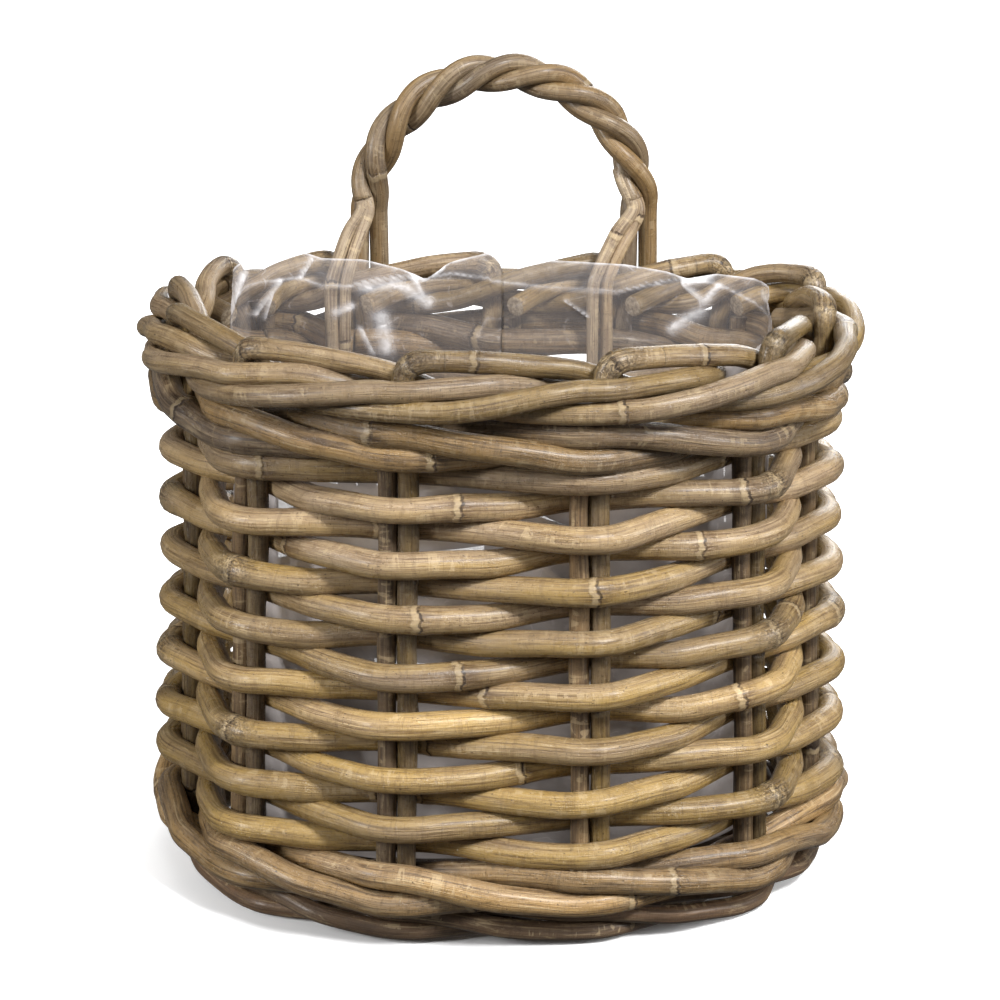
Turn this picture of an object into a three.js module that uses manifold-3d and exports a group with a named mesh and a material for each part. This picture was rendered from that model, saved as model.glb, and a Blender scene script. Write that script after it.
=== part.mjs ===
// A half-round wall basket woven from whole rattan canes, with a twisted carrying loop and a film liner.
// Units are millimetres. +Z is up, the flat wall side faces +Y and the bowed front faces -Y.
import * as THREE from "three";
import { mergeVertices } from "three/addons/utils/BufferGeometryUtils.js";
import Module from "manifold-3d";

const wasm = await Module();
wasm.setup();

// ---- Driving dimensions ----

// The stake line is the D that the upright stakes stand on, half way up the wall.
const HALF_WIDTH = 133;
const FRONT_REACH = 122; // from the straight sides forward to the middle of the front
const FRONT_POWER = 2.5; // 2 would be an ellipse, more is squarer
const SIDE_RUN = 8;
const CORNER_RADIUS = 40;
const BACK_LINE = SIDE_RUN + CORNER_RADIUS;
const FRAME_Y = 39.4; // puts the middle of the finished basket's box over the frame's origin

// Gaps along the stake line between the stake pairs, from the middle of the back round by the left.
const PAIR_GAPS = [66, 45, 45, 46, 66, 70, 78, 74, 66, 50, 50, 51, 51];
const PAIRS = PAIR_GAPS.length;
const HALF_PAIR = 3.95; // each stake of a pair stands this far from the pair's middle
const PAIR_ZONE = 7; // a cane runs straight past a pair for this far each way

const STAKE_RADIUS = 3.75;
const CANE_RADIUS = 4.65;
const FOOT_RADIUS = 4;
const BORDER_RADIUS = 4;
const TOUCH = 0.4; // clearance where two canes would touch
const CANE_REACH = STAKE_RADIUS + CANE_RADIUS + TOUCH;
const FOOT_REACH = STAKE_RADIUS + FOOT_RADIUS + TOUCH;

// Heights, from the ground up.
const FOOT_RISE = 4.3; // half the height between the two canes in front of a stake
const WALE_RISE = 5;
const WALE_BULGE = 3.6; // how far a wale cane bows out between the two pairs it fronts
const FOOT_Z = FOOT_RISE + FOOT_RADIUS * Math.cos(Math.PI / 6);
const BASE_WALE_Z = 27.3;
const FIRST_ROW_Z = 43;
const ROW_PITCH = 11.1;
const TOP_WALE_Z = 214;
const BORDER_Z = 228.8;
const BORDER_STEP = 8.7;
const KNEE_RISE = 18.7;
const BYE_TOP = 222.5;
const ROWS = 15;
const CANE_STEPS = 16; // pairs that one body cane passes
const ROW_TILT = 3.5; // the rows climb this much towards the right half way up

// How far the plan is spread at each height, about the middle of the back wall.
const SPREAD = [
  [0, 0.978],
  [17, 0.978],
  [22.5, 1.03],
  [36, 1.03],
  [199, 0.985],
  [208, 1],
  [223, 1],
  [228.8, 1.03],
  [400, 1.03],
];

const LINER_INSET = 15.2;
const LINER_BACK_INSET = 22.5;
const LINER_WALL = 1;
const LINER_FLOOR = 25.5;
const LINER_TOP = 242;

const STICK_RADIUS = 3;
const STICK_X = [-50, 0, 50];
const STICK_Z = 12.5;
const BASE_ROW_PITCH = 9;
const BASE_WEAVE = 8.1; // how far the base canes pass above and below the sticks
const BASE_ROWS_EACH = 5;

const STRAND_RADIUS = 3.45;
const LOOP_TWIST_RADIUS = 4.9;
const LOOP_SPRING_Z = 273;
const LOOP_APEX_Z = 332;
const LOOP_TURNS = 3;
const LOOP_STEPS = 44;

// ---- Materials ----

const cane = (color, roughness = 0.55) => new THREE.MeshStandardMaterial({ color, roughness, metalness: 0 });
const STAKE_WOOD = cane(0x6f5b42, 0.65);
const BODY_CANE = cane(0xa8946b);
const WALE_CANE = cane(0x8f7c60);
const FOOT_CANE = cane(0x5d4a36, 0.7);
const LOOP_CANE = cane(0x9c8a6c, 0.5);
const STICK_WOOD = cane(0x7a6548, 0.65);
const FILM = new THREE.MeshStandardMaterial({
  color: 0xcfd0d6,
  roughness: 0.15,
  metalness: 0,
  transparent: true,
  opacity: 0.4,
});

// ---- The stake line and the places on it ----

const LINE_STEPS = 600;

// One point of the D, from the middle of the back (0) by the left to the middle of the front (1).
function leftHalf(t) {
  const straight = HALF_WIDTH - CORNER_RADIUS;
  const arc = (CORNER_RADIUS * Math.PI) / 2;
  const back = straight + arc + SIDE_RUN;
  const at = t * (back + FRONT_REACH * 1.7);
  if (at < straight) return [-at, BACK_LINE];
  if (at < straight + arc) {
    const turn = (at - straight) / CORNER_RADIUS;
    return [-straight - CORNER_RADIUS * Math.sin(turn), SIDE_RUN + CORNER_RADIUS * Math.cos(turn)];
  }
  if (at < back) return [-HALF_WIDTH, SIDE_RUN - (at - straight - arc)];
  const angle = (((at - back) / (FRONT_REACH * 1.7)) * Math.PI) / 2;
  return [
    -HALF_WIDTH * Math.cos(angle) ** (2 / FRONT_POWER),
    -FRONT_REACH * Math.sin(angle) ** (2 / FRONT_POWER),
  ];
}

const linePoints = [];
for (let i = 0; i <= LINE_STEPS; i++) linePoints.push(leftHalf(i / LINE_STEPS));
for (let i = LINE_STEPS - 1; i >= 0; i--) linePoints.push([-linePoints[i][0], linePoints[i][1]]);
const lineReach = [0];
for (let i = 1; i < linePoints.length; i++) {
  const [ax, ay] = linePoints[i - 1];
  const [bx, by] = linePoints[i];
  lineReach.push(lineReach[i - 1] + Math.hypot(bx - ax, by - ay));
}
const LINE_LENGTH = lineReach[lineReach.length - 1];

function lineAt(reach) {
  const wrapped = ((reach % LINE_LENGTH) + LINE_LENGTH) % LINE_LENGTH;
  let i = 1;
  while (lineReach[i] < wrapped) i++;
  const part = (wrapped - lineReach[i - 1]) / (lineReach[i] - lineReach[i - 1]);
  const [ax, ay] = linePoints[i - 1];
  const [bx, by] = linePoints[i];
  return [ax + (bx - ax) * part, ay + (by - ay) * part];
}

// Where a place stands, which way the line runs there, and which way is out of the basket.
function frameAt(reach) {
  const [x, y] = lineAt(reach);
  const [ax, ay] = lineAt(reach - 1.5);
  const [bx, by] = lineAt(reach + 1.5);
  const long = Math.hypot(bx - ax, by - ay);
  const run = [(bx - ax) / long, (by - ay) / long];
  return { x, y, run, out: [run[1], -run[0]] };
}

const gapTotal = PAIR_GAPS.reduce((sum, gap) => sum + gap, 0);
const pairReach = [0];
for (const gap of PAIR_GAPS) pairReach.push(pairReach[pairReach.length - 1] + (gap * LINE_LENGTH) / gapTotal);

// The frame at a step, counted in pairs from the middle of the back, part of a gap included.
function stepFrame(step) {
  const turn = Math.floor(step / PAIRS);
  const pair = Math.floor(step - turn * PAIRS);
  const part = step - turn * PAIRS - pair;
  return frameAt(pairReach[pair] + (pairReach[pair + 1] - pairReach[pair]) * part);
}

function spreadAt(z) {
  const i = SPREAD.findIndex(([height]) => height >= z);
  if (i <= 0) return SPREAD[0][1];
  const [z0, s0] = SPREAD[i - 1];
  const [z1, s1] = SPREAD[i];
  return s0 + ((s1 - s0) * (z - z0)) / (z1 - z0);
}

// A point beside a frame: along the line, out of the basket, and up, at a given spread of the plan.
function place(frame, along, out, z, spread) {
  return new THREE.Vector3(
    frame.x * spread + frame.run[0] * along + frame.out[0] * out,
    BACK_LINE + (frame.y - BACK_LINE) * spread + frame.run[1] * along + frame.out[1] * out,
    z,
  );
}

// ---- Canes ----

// A cane's centre line, drawn straight from point to point. A level cane keeps its section upright.
class CanePath extends THREE.Curve {
  constructor(points, level) {
    super();
    this.points = points;
    this.level = level;
  }

  getPoint(t, target = new THREE.Vector3()) {
    const along = t * (this.points.length - 1);
    const i = Math.min(Math.floor(along), this.points.length - 2);
    return target.lerpVectors(this.points[i], this.points[i + 1], along - i);
  }

  getPointAt(u, target) {
    return this.getPoint(u, target);
  }

  getTangentAt(u, target = new THREE.Vector3()) {
    const last = this.points.length - 1;
    const i = Math.round(u * last);
    const arriving = this.points[i].clone().sub(this.points[Math.max(i - 1, 0)]).normalize();
    const leaving = this.points[Math.min(i + 1, last)].clone().sub(this.points[i]).normalize();
    return target.copy(arriving).add(leaving).normalize();
  }

  computeFrenetFrames(segments, closed) {
    if (!this.level) return super.computeFrenetFrames(segments, closed);
    const frames = { tangents: [], normals: [], binormals: [] };
    for (let i = 0; i <= segments; i++) {
      const tangent = this.getTangentAt(i / segments).setZ(0).normalize();
      const up = new THREE.Vector3(0, 0, 1);
      frames.tangents.push(tangent);
      frames.normals.push(up);
      frames.binormals.push(tangent.clone().cross(up));
    }
    return frames;
  }
}

const basket = new THREE.Group();
basket.position.y = FRAME_Y;

function addMesh(name, geometry, material) {
  const mesh = new THREE.Mesh(geometry, material);
  mesh.name = name;
  basket.add(mesh);
}

function addCane(name, points, radius, material, { sides = 6, level = true } = {}) {
  const section = new THREE.Shape();
  for (let i = 0; i < sides; i++) {
    const angle = ((i + 0.5) * 2 * Math.PI) / sides;
    const corner = [radius * Math.cos(angle), radius * Math.sin(angle)];
    if (i === 0) section.moveTo(...corner);
    else section.lineTo(...corner);
  }
  section.closePath();
  const geometry = new THREE.ExtrudeGeometry(section, {
    steps: points.length - 1,
    bevelEnabled: false,
    extrudePath: new CanePath(points, level),
  });
  addMesh(name, geometry, material);
}

const numbered = (name, index) => `${name}_${String(index + 1).padStart(2, "0")}`;

// ---- Wales: three canes, each in front of two pairs and behind the third ----

function addWale(name, { z, rise, radius, reach, material, sides }) {
  const spread = spreadAt(z);
  const atPair = [
    [-reach, z],
    [reach, z + rise],
    [reach, z - rise],
  ];
  const inGap = [
    [-1, z + rise],
    [reach + WALE_BULGE, z],
    [-1, z - rise],
  ];
  for (let first = 0; first < 3; first++) {
    const phaseOf = (pair) => (pair - first + 3) % 3;
    const points = [];
    for (let n = 0; n <= PAIRS; n++) {
      const pair = (first + n) % PAIRS;
      const frame = stepFrame(pair);
      const phase = phaseOf(pair);
      const [out, height] = atPair[phase];
      const [from, to] = n === 0 ? [TOUCH, PAIR_ZONE] : [-PAIR_ZONE, n === PAIRS ? -TOUCH : PAIR_ZONE];
      points.push(place(frame, from, out, height, spread));
      points.push(place(frame, to, out, height, spread));
      const next = phaseOf((pair + 1) % PAIRS);
      if (n < PAIRS && next !== phase) {
        const [gapOut, gapHeight] = inGap[phase];
        points.push(place(stepFrame(pair + 0.5), 0, gapOut, gapHeight, spread));
      }
    }
    addCane(numbered(name, first), points, radius, material, { sides });
  }
}

addWale("foot_wale", {
  z: FOOT_Z,
  rise: FOOT_RISE,
  radius: FOOT_RADIUS,
  reach: FOOT_REACH,
  material: FOOT_CANE,
  sides: 6,
});
addWale("base_wale", {
  z: BASE_WALE_Z,
  rise: WALE_RISE,
  radius: CANE_RADIUS,
  reach: CANE_REACH,
  material: WALE_CANE,
  sides: 6,
});
addWale("top_wale", {
  z: TOP_WALE_Z,
  rise: WALE_RISE,
  radius: CANE_RADIUS,
  reach: CANE_REACH,
  material: WALE_CANE,
  sides: 8,
});

// ---- Body: one spiral, over one pair and under the next, pieced from canes that meet behind a pair ----

function tilted(point, z) {
  const share = (z - BASE_WALE_Z - WALE_RISE) / (TOP_WALE_Z - WALE_RISE - BASE_WALE_Z - WALE_RISE);
  point.z += (ROW_TILT * Math.sin(Math.PI * share) * point.x) / HALF_WIDTH;
  return point;
}

// Where the line turns more than a little from one pair to the next, a cane needs a point between them.
function turnsCorner(step) {
  const here = stepFrame(step).run;
  const next = stepFrame(step + 1).run;
  return here[0] * next[0] + here[1] * next[1] < 0.9;
}

function bodyCane(first, last) {
  const points = [];
  for (let step = first; step <= last; step++) {
    const z = FIRST_ROW_Z + ROW_PITCH * Math.floor(step / PAIRS);
    const out = step % 2 === 0 ? -CANE_REACH : CANE_REACH;
    const frame = stepFrame(step);
    const from = step === first ? TOUCH : -PAIR_ZONE;
    const to = step === last ? -TOUCH : PAIR_ZONE;
    points.push(tilted(place(frame, from, out, z, spreadAt(z)), z));
    points.push(tilted(place(frame, to, out, z, spreadAt(z)), z));
    if (step < last && turnsCorner(step)) {
      points.push(tilted(place(stepFrame(step + 0.5), 0, 0, z, spreadAt(z)), z));
    }
  }
  return points;
}

const LAST_STEP = ROWS * PAIRS - 1;
const BODY_CANES = Math.floor(LAST_STEP / CANE_STEPS);
for (let i = 0; i < BODY_CANES; i++) {
  const last = i === BODY_CANES - 1 ? LAST_STEP : (i + 1) * CANE_STEPS;
  addCane(numbered("body_cane", i), bodyCane(i * CANE_STEPS, last), CANE_RADIUS, BODY_CANE);
}

// ---- Stakes: the main stake of each pair bends over into the border, the bye stake stops below it ----

const STAKE_HEIGHTS = [3, 17, 22.5, 36, 199, 208, 223, 228.8];

function upright(pair, along, heights) {
  return heights.map((z) => place(stepFrame(pair), along, 0, z, spreadAt(z)));
}

// The border run of a main stake: knee, inside one pair, outside two, and cut off inside the next.
function borderRun(pair) {
  const spread = spreadAt(BORDER_Z);
  const reach = STAKE_RADIUS + BORDER_RADIUS + 1.25;
  const z = BORDER_Z;
  const knee = stepFrame(pair);
  const at = (step, along, out, height) => place(stepFrame(step), along, out, height, spread);
  const inside = pair + 1;
  const low = pair + 2;
  const high = pair + 3;
  return [
    place(knee, HALF_PAIR, 0, z + KNEE_RISE - 6, spread),
    place(knee, HALF_PAIR + 1.8, 0, z + KNEE_RISE - 1.8, spread),
    place(knee, HALF_PAIR + 6, 0, z + KNEE_RISE, spread),
    at(pair + 0.5, 0, -4.5, z + 17.5),
    at(pair + 0.8, 0, -7.5, z + 14.4),
    at(inside, -5, -reach, z + 12.5),
    at(inside, 6, -reach, z + 8.5),
    at(inside + 0.25, 0, -6.5, z + 3.5),
    at(inside + 0.5, 0, 0, z - 0.1),
    at(inside + 0.75, 0, 6, z),
    at(low, -6, reach, z),
    at(low, 6, reach, z),
    at(low + 0.25, 0, reach + 3, z + 1.5),
    at(low + 0.5, 0, reach + 4, z + 4.5),
    at(low + 0.75, 0, reach + 3, z + 7.5),
    at(high, -6, reach, z + BORDER_STEP),
    at(high, 6, reach, z + BORDER_STEP),
    at(high + 0.25, 0, 5, z + BORDER_STEP + 0.5),
    at(high + 0.5, 0, 0, z + BORDER_STEP + 0.3),
    at(high + 0.8, 0, -10.5, z + 5.7),
  ];
}

// A deep leg of the loop takes the place of the bye stake at the two pairs beside the loop.
const LOOP_PAIRS = [1, PAIRS - 1];
for (let pair = 0; pair < PAIRS; pair++) {
  const main = [...upright(pair, HALF_PAIR, STAKE_HEIGHTS), ...borderRun(pair)];
  addCane(numbered("main_stake", pair), main, STAKE_RADIUS, STAKE_WOOD, { sides: 5, level: false });
  if (LOOP_PAIRS.includes(pair)) continue;
  const bye = upright(pair, -HALF_PAIR, [...STAKE_HEIGHTS.slice(2, -2), BYE_TOP]);
  addCane(numbered("bye_stake", pair), bye, STAKE_RADIUS, STAKE_WOOD, { sides: 5, level: false });
}

// ---- Carrying loop: three strands laid up like a rope ----

const loopLeg = (pair) => place(stepFrame(pair), -HALF_PAIR, 0, 0, spreadAt(BORDER_Z));
const [leftLeg, rightLeg] = LOOP_PAIRS.map(loopLeg);
const sideStep = LOOP_TWIST_RADIUS * Math.cos(Math.PI / 6);
const backStep = LOOP_TWIST_RADIUS * Math.sin(Math.PI / 6);
const loopMiddle = (leftLeg.x + rightLeg.x) / 2 + sideStep;
const loopHalf = (rightLeg.x - leftLeg.x) / 2;

function strandTwist(lag) {
  const points = [];
  for (let i = 0; i <= LOOP_STEPS; i++) {
    const share = i / LOOP_STEPS;
    const sweep = Math.PI * (1 - share);
    const twist = -Math.PI / 6 - 2 * Math.PI * LOOP_TURNS * share + lag;
    const outward = new THREE.Vector3(Math.cos(sweep), 0, Math.sin(sweep));
    const front = new THREE.Vector3(0, -1, 0);
    points.push(
      new THREE.Vector3(
        loopMiddle + loopHalf * Math.cos(sweep),
        BACK_LINE - backStep,
        LOOP_SPRING_Z + (LOOP_APEX_Z - LOOP_SPRING_Z) * Math.sin(sweep),
      )
        .addScaledVector(outward, LOOP_TWIST_RADIUS * Math.cos(twist))
        .addScaledVector(front, LOOP_TWIST_RADIUS * Math.sin(twist)),
    );
  }
  return points;
}

// A strand is its left leg from the bottom up, the twist, and its right leg from the top down.
function addStrand(name, lag, leftPoints, rightPoints) {
  const points = [...leftPoints, ...strandTwist(lag), ...rightPoints.reverse()];
  addCane(name, points, STRAND_RADIUS, LOOP_CANE, { level: false });
}

// Leg points beside a foot of the loop: across, out of the basket, and up.
const legPoints = (foot, places) =>
  places.map(([x, out, z]) => new THREE.Vector3(foot.x + x, BACK_LINE + out, z));

// The left strand goes deep on the left and stops beside the deep leg on the right, the right strand the
// other way about, and the inside strand runs down inside the back wall at both ends.
const deepLeg = (pair) => upright(pair, -HALF_PAIR, [...STAKE_HEIGHTS.slice(1), BORDER_Z + 21.5]);
const besideLeg = (foot) =>
  legPoints(foot, [
    [2 * sideStep, 1.2, BORDER_Z + 8.6],
    [2 * sideStep, 0.6, BORDER_Z + 25.5],
  ]);
const insideLeg = (foot, lean) =>
  legPoints(foot, [
    [-lean, -18.6, BORDER_Z - 23],
    [-lean, -18.6, BORDER_Z + 13.5],
    [-lean * 0.6, -15.6, BORDER_Z + 25],
    [-lean * 0.15, -10.5, BORDER_Z + 35],
  ]);
const third = (2 * Math.PI) / 3;
addStrand("loop_strand_left", 0, deepLeg(LOOP_PAIRS[0]), besideLeg(rightLeg));
addStrand("loop_strand_right", -third, besideLeg(leftLeg), deepLeg(LOOP_PAIRS[1]));
addStrand("loop_strand_inside", third, insideLeg(leftLeg, 9), insideLeg(rightLeg, 13));

// ---- Base: sticks from front to back, and canes laid to and fro across them ----

const baseSpread = spreadAt(FOOT_Z);
const baseInset = FOOT_REACH + FOOT_RADIUS + 1;
const baseEdge = [];
for (let reach = 0; reach <= LINE_LENGTH / 2; reach += 2) {
  baseEdge.push(place(frameAt(reach), 0, -baseInset, 0, baseSpread));
}

const edgeAt = (y) => -baseEdge.findLast((point) => point.y >= y - 0.1).x;
const baseHalfWidth = (y) => Math.min(edgeAt(y - FOOT_RADIUS), edgeAt(y + FOOT_RADIUS)) - 1;
const baseFront = (x) => baseEdge.find((point, i) => i > LINE_LENGTH / 8 && -point.x <= Math.abs(x) + 2).y;

const baseBack = BACK_LINE - baseInset;
STICK_X.forEach((x, i) => {
  const ends = [
    new THREE.Vector3(x, baseFront(x), STICK_Z),
    new THREE.Vector3(x, baseBack, STICK_Z),
  ];
  addCane(numbered("base_stick", i), ends, STICK_RADIUS, STICK_WOOD, { level: false });
});

const baseRowY = (row) => baseBack - FOOT_RADIUS - BASE_ROW_PITCH * row;

function baseRow(row) {
  const y = baseRowY(row);
  const half = baseHalfWidth(y);
  const points = [new THREE.Vector3(-half, y, STICK_Z)];
  STICK_X.forEach((x, i) => {
    const above = (row + i) % 2 === 0;
    points.push(new THREE.Vector3(x, y, STICK_Z + (above ? BASE_WEAVE : -BASE_WEAVE)));
  });
  points.push(new THREE.Vector3(half, y, STICK_Z));
  return row % 2 === 0 ? points : points.reverse();
}

let baseRows = 0;
while (baseHalfWidth(baseRowY(baseRows)) > STICK_X[2] + BASE_ROW_PITCH) baseRows++;
for (let first = 0, i = 0; first < baseRows; first += BASE_ROWS_EACH, i++) {
  const points = [];
  const end = Math.min(first + BASE_ROWS_EACH, baseRows);
  for (let row = first; row < end; row++) points.push(...baseRow(row));
  addCane(numbered("base_cane", i), points, FOOT_RADIUS, STICK_WOOD);
}

// ---- Liner: a thin film tub, open at the top ----

function linerBlock(inset, backInset, bottom, top) {
  const outline = new THREE.Shape();
  const spread = spreadAt(199);
  const steps = 44;
  for (let i = 0; i < steps; i++) {
    const point = place(frameAt((LINE_LENGTH * (i + 0.5)) / steps), 0, -inset, 0, spread);
    point.y = Math.min(point.y, BACK_LINE - backInset);
    if (i === 0) outline.moveTo(point.x, point.y);
    else outline.lineTo(point.x, point.y);
  }
  outline.closePath();
  const geometry = new THREE.ExtrudeGeometry(outline, { depth: top - bottom, bevelEnabled: false });
  return geometry.translate(0, 0, bottom);
}

function solidOf(geometry) {
  geometry.deleteAttribute("normal");
  geometry.deleteAttribute("uv");
  const merged = mergeVertices(geometry);
  const vertProperties = merged.getAttribute("position").array;
  const triVerts = new Uint32Array(merged.index.array);
  return new wasm.Manifold(new wasm.Mesh({ numProp: 3, vertProperties, triVerts }));
}

function geometryOf(solid) {
  const mesh = solid.getMesh();
  const geometry = new THREE.BufferGeometry();
  geometry.setAttribute("position", new THREE.BufferAttribute(mesh.vertProperties, 3));
  geometry.setIndex(new THREE.BufferAttribute(mesh.triVerts, 1));
  geometry.computeVertexNormals();
  return geometry;
}

const linerOuter = linerBlock(LINER_INSET, LINER_BACK_INSET, LINER_FLOOR, LINER_TOP);
const linerInner = linerBlock(
  LINER_INSET + LINER_WALL,
  LINER_BACK_INSET + LINER_WALL,
  LINER_FLOOR + LINER_WALL,
  LINER_TOP + LINER_WALL,
);
addMesh("film_liner", geometryOf(solidOf(linerOuter).subtract(solidOf(linerInner))), FILM);

export default basket;
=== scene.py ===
"""The looks of a half-round wall basket woven from whole rattan canes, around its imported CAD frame."""

import math
import random

import bpy
import numpy as np
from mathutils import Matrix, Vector


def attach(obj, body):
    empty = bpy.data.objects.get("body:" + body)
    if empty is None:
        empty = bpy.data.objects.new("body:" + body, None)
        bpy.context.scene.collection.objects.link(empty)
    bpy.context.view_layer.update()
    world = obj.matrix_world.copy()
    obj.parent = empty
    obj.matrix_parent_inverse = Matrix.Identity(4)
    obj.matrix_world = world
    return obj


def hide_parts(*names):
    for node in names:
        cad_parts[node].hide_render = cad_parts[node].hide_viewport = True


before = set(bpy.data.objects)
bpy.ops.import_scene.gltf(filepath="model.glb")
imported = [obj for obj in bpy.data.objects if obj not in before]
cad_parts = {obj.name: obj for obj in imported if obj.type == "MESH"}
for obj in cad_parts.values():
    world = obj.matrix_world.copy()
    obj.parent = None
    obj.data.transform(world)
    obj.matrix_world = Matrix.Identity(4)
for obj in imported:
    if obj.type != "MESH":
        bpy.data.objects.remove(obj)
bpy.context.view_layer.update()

# ---- Driving dimensions, in millimetres as in the CAD; meshes are made in metres ----

MM = 0.001
HALF_WIDTH = 133
FRONT_REACH = 122
FRONT_POWER = 2.5
SIDE_RUN = 8
CORNER_RADIUS = 40
BACK_LINE = SIDE_RUN + CORNER_RADIUS
FRAME_Y = 39.4
PAIR_GAPS = [66, 45, 45, 46, 66, 70, 78, 74, 66, 50, 50, 51, 51]
PAIRS = len(PAIR_GAPS)
HALF_PAIR = 4.2
PAIR_ZONE = 7

STAKE_RADIUS = 3.9
CANE_RADIUS = 5.6
FOOT_RADIUS = 4.0
BORDER_RADIUS = 4.9
CANE_REACH = 9.2
FOOT_REACH = 7.8

FOOT_RISE = 4.4
WALE_RISE = 5.2
WALE_BULGE = 3.0
FOOT_Z = 9.6
BASE_WALE_Z = 27.3
FIRST_ROW_Z = 43
ROW_PITCH = 11.1
TOP_WALE_Z = 214
BORDER_Z = 228.8
BORDER_STEP = 8.7
KNEE_RISE = 18.7
BYE_TOP = 222.5
ROWS = 15
CANE_STEPS = 16
ROW_TILT = 3.5
ROW_SAG = 3
ROW_JITTER = 1.0
SPREAD = [
    (0, 0.978),
    (17, 0.978),
    (22.5, 1.03),
    (36, 1.03),
    (199, 0.985),
    (208, 1),
    (223, 1),
    (228.8, 1.03),
    (400, 1.03),
]
STAKE_HEIGHTS = [3, 17, 22.5, 36, 199, 208, 223, 228.8]

STRAND_RADIUS = 4.1
SPLIT_RADIUS = 2.7
SPLIT_APART = 2.9
LOOP_TWIST_RADIUS = 4.8
LOOP_SPRING_Z = 273
LOOP_APEX_Z = 332
LOOP_TURNS = 3
LOOP_PAIRS = (1, PAIRS - 1)

# ---- The stake line and the places on it ----

LINE_STEPS = 600


def left_half(t):
    straight = HALF_WIDTH - CORNER_RADIUS
    arc = CORNER_RADIUS * math.pi / 2
    back = straight + arc + SIDE_RUN
    at = t * (back + FRONT_REACH * 1.7)
    if at < straight:
        return -at, BACK_LINE
    if at < straight + arc:
        turn = (at - straight) / CORNER_RADIUS
        return -straight - CORNER_RADIUS * math.sin(turn), SIDE_RUN + CORNER_RADIUS * math.cos(turn)
    if at < back:
        return -HALF_WIDTH, SIDE_RUN - (at - straight - arc)
    angle = (at - back) / (FRONT_REACH * 1.7) * math.pi / 2
    across = max(math.cos(angle), 0) ** (2 / FRONT_POWER)
    return -HALF_WIDTH * across, -FRONT_REACH * math.sin(angle) ** (2 / FRONT_POWER)


left_line = [left_half(i / LINE_STEPS) for i in range(LINE_STEPS + 1)]
LINE = np.array(left_line + [(-x, y) for x, y in reversed(left_line[:-1])])
LINE_REACH = np.concatenate([[0], np.cumsum(np.linalg.norm(np.diff(LINE, axis=0), axis=1))])
LINE_LENGTH = LINE_REACH[-1]
PAIR_REACH = np.concatenate([[0], np.cumsum(PAIR_GAPS)]) * LINE_LENGTH / sum(PAIR_GAPS)


def line_at(reach):
    wrapped = reach % LINE_LENGTH
    return np.array([np.interp(wrapped, LINE_REACH, LINE[:, axis]) for axis in (0, 1)])


def spread_at(z):
    return np.interp(z, [height for height, _ in SPREAD], [share for _, share in SPREAD])


def place(step, along, out, z, spread):
    """A point beside the stake line at a step counted in pairs: along the line, out of the basket, and up."""
    turn = math.floor(step / PAIRS)
    reach = np.interp(step - turn * PAIRS, range(PAIRS + 1), PAIR_REACH)
    here = line_at(reach)
    run = line_at(reach + 1.5) - line_at(reach - 1.5)
    run = run / np.linalg.norm(run)
    outward = np.array([run[1], -run[0]])
    middle = np.array([0, BACK_LINE])
    flat = middle + (here - middle) * spread + run * along + outward * out
    return np.array([flat[0], flat[1] + FRAME_Y, z])


# ---- Canes ----

RING_PITCH = 1.9
RING_SIDES = 16


def resample(points, pitch):
    steps = np.linalg.norm(np.diff(points, axis=0), axis=1)
    reach = np.concatenate([[0], np.cumsum(steps)])
    count = max(int(round(reach[-1] / pitch)), 2)
    at = np.linspace(0, reach[-1], count + 1)
    return np.stack([np.interp(at, reach, points[:, axis]) for axis in range(3)], axis=1)


def smooth_path(points, blur):
    """The path through the points with its bends rounded off, in even steps."""
    fine = resample(np.array(points, float), 0.8)
    width = int(round(3 * blur / 0.8))
    width = min(width, len(fine) - 1)
    kernel = np.exp(-0.5 * (np.arange(-width, width + 1) * 0.8 / blur) ** 2)
    kernel /= kernel.sum()
    before = 2 * fine[0] - fine[width:0:-1]
    after = 2 * fine[-1] - fine[-2 : -width - 2 : -1]
    padded = np.concatenate([before, fine, after])
    soft = np.stack([np.convolve(padded[:, axis], kernel, "valid") for axis in range(3)], axis=1)
    return resample(soft, RING_PITCH)


def waves(at, rng, length, terms=4):
    """A smooth random wobble between about -1 and 1, with bumps of roughly the given length."""
    total = np.zeros_like(at)
    for _ in range(terms):
        bump = length * rng.uniform(0.6, 1.8)
        shift = rng.uniform(0, 6.28)
        total += math.sqrt(2 / terms) * np.sin(at * 2 * math.pi / bump + shift)
    return total * 0.7


def transport(path):
    """Unit vectors across the path, turning as little as they can along it."""
    tangents = np.gradient(path, axis=0)
    tangents /= np.linalg.norm(tangents, axis=1)[:, None]
    side = np.cross(tangents[0], [0, 0, 1])
    if np.linalg.norm(side) < 0.2:
        side = np.cross(tangents[0], [0, 1, 0])
    sides = []
    for tangent in tangents:
        side = side - tangent * np.dot(side, tangent)
        side = side / np.linalg.norm(side)
        sides.append(side)
    sides = np.array(sides)
    return sides, np.cross(tangents, sides), tangents


def add_mesh(name, vertices, faces, materials, face_slots=None, floats=None, vectors=None):
    mesh = bpy.data.meshes.new(name)
    mesh.from_pydata([tuple(v) for v in vertices], [], faces)
    for material in materials:
        mesh.materials.append(material)
    if face_slots is not None:
        mesh.polygons.foreach_set("material_index", face_slots)
    for key, values in (floats or {}).items():
        mesh.attributes.new(key, "FLOAT", "POINT").data.foreach_set("value", np.asarray(values, np.float32))
    for key, values in (vectors or {}).items():
        flat = np.asarray(values, np.float32).ravel()
        mesh.attributes.new(key, "FLOAT_VECTOR", "POINT").data.foreach_set("vector", flat)
    mesh.polygons.foreach_set("use_smooth", [True] * len(faces))
    mesh.update()
    piece = bpy.data.objects.new(name, mesh)
    bpy.context.scene.collection.objects.link(piece)
    return piece


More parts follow.
